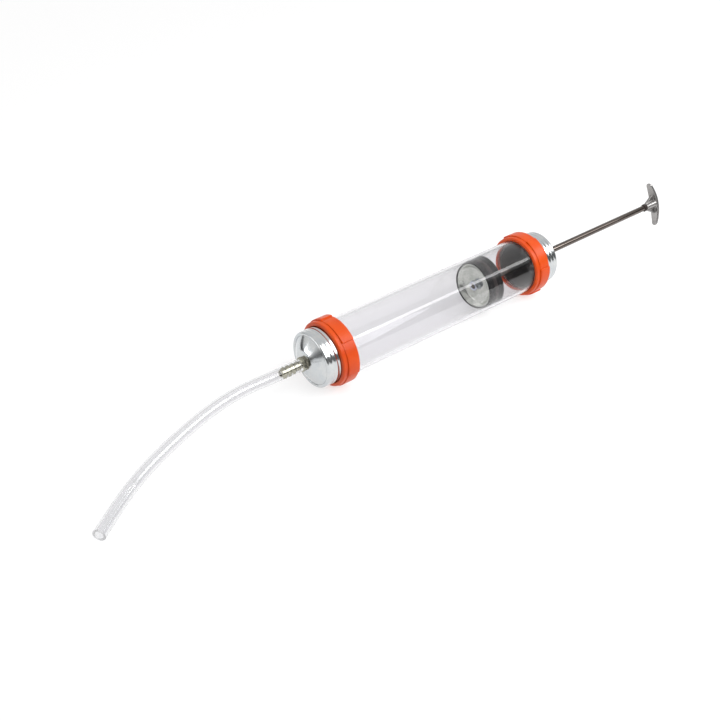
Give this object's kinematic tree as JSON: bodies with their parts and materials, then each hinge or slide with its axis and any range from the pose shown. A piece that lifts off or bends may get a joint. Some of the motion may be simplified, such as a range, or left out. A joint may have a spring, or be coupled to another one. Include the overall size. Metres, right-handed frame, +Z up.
{
  "type": "hand suction syringe",
  "caption": "Hand-worked suction and filling syringe: clear barrel between screwed metal caps with orange ring nuts, rubber piston on a T-handled rod, and a clear hose on a barb.",
  "frame": {"origin": "on the table, under the barrel's axis, half way from the barb's tip to the handle's back", "axes": "+X along the barrel towards the handle, +Z up"},
  "size_m": [0.7944, 0.0961, 0.0691],
  "materials": {
    "clear_barrel": "clear, polished",
    "clear_hose": "clear soft PVC",
    "orange_plastic": "moulded, semi-gloss",
    "zinc_steel": "bright zinc plate on pressed steel",
    "nickel_brass": "nickel plated",
    "bronze": "turned",
    "black_rubber": "moulded nitrile",
    "fibre": "pressed fibre washer",
    "grey_plastic": "extruded, satin",
    "black_plastic": "turned",
    "bright_steel": "drawn bar, zinc plated fasteners",
    "black_steel": "black oxide",
    "cast_alloy": "die-cast, satin"
  },
  "bodies": {
    "barrel": {"barrel_tube": "clear_barrel"},
    "front_ring": {"front_ring": "orange_plastic"},
    "front_head": {"front_cap": "zinc_steel", "front_gasket": "black_rubber", "hose_barb": "nickel_brass", "barb_washer": "fibre", "barb_nut": "bright_steel", "hose": "clear_hose"},
    "rear_ring": {"rear_ring": "orange_plastic"},
    "rear_head": {"rear_cap": "zinc_steel", "rear_gasket": "black_rubber", "stop_sleeve": "grey_plastic", "rod_bush": "bronze", "bush_nut": "bright_steel"},
    "rod_seal": {"rod_seal": "black_rubber"},
    "plunger": {"rod": "bright_steel", "handle": "cast_alloy", "lock_nut": "black_steel", "front_disc": "zinc_steel", "rear_disc": "zinc_steel", "front_cup": "black_rubber", "rear_cup": "black_rubber", "piston_core": "black_plastic", "spring_washer": "bright_steel", "piston_nut": "bright_steel", "rear_nut": "bright_steel"}
  },
  "joints": [
    {"name": "front_ring_turn", "type": "hinge", "parent": "barrel", "child": "front_ring", "pos_m": [-0.215, 0, 0.03456], "axis": [1, 0, 0], "range_deg": [0, 1080]},
    {"name": "front_cap_lift", "type": "slide", "parent": "barrel", "child": "front_head", "axis": [-1, 0, 0], "range_m": [0, 0.0135]},
    {"name": "rear_ring_turn", "type": "hinge", "parent": "barrel", "child": "rear_ring", "pos_m": [0.0346, 0, 0.03456], "axis": [-1, 0, 0], "range_deg": [0, 1080]},
    {"name": "rear_cap_lift", "type": "slide", "parent": "barrel", "child": "rear_head", "axis": [1, 0, 0], "range_m": [0, 0.0135]},
    {"name": "plunger_turn", "type": "hinge", "parent": "rear_head", "child": "rod_seal", "pos_m": [0.0716, 0, 0.03456], "axis": [1, 0, 0], "continuous": true},
    {"name": "plunger_stroke", "type": "slide", "parent": "rod_seal", "child": "plunger", "axis": [1, 0, 0], "range_m": [-0.183, 0.048]}
  ],
  "couplings": [
    {"joint": "front_cap_lift", "follows": "front_ring_turn", "m_per_rad": 0.00071619},
    {"joint": "rear_cap_lift", "follows": "rear_ring_turn", "m_per_rad": 0.00071619}
  ]
}
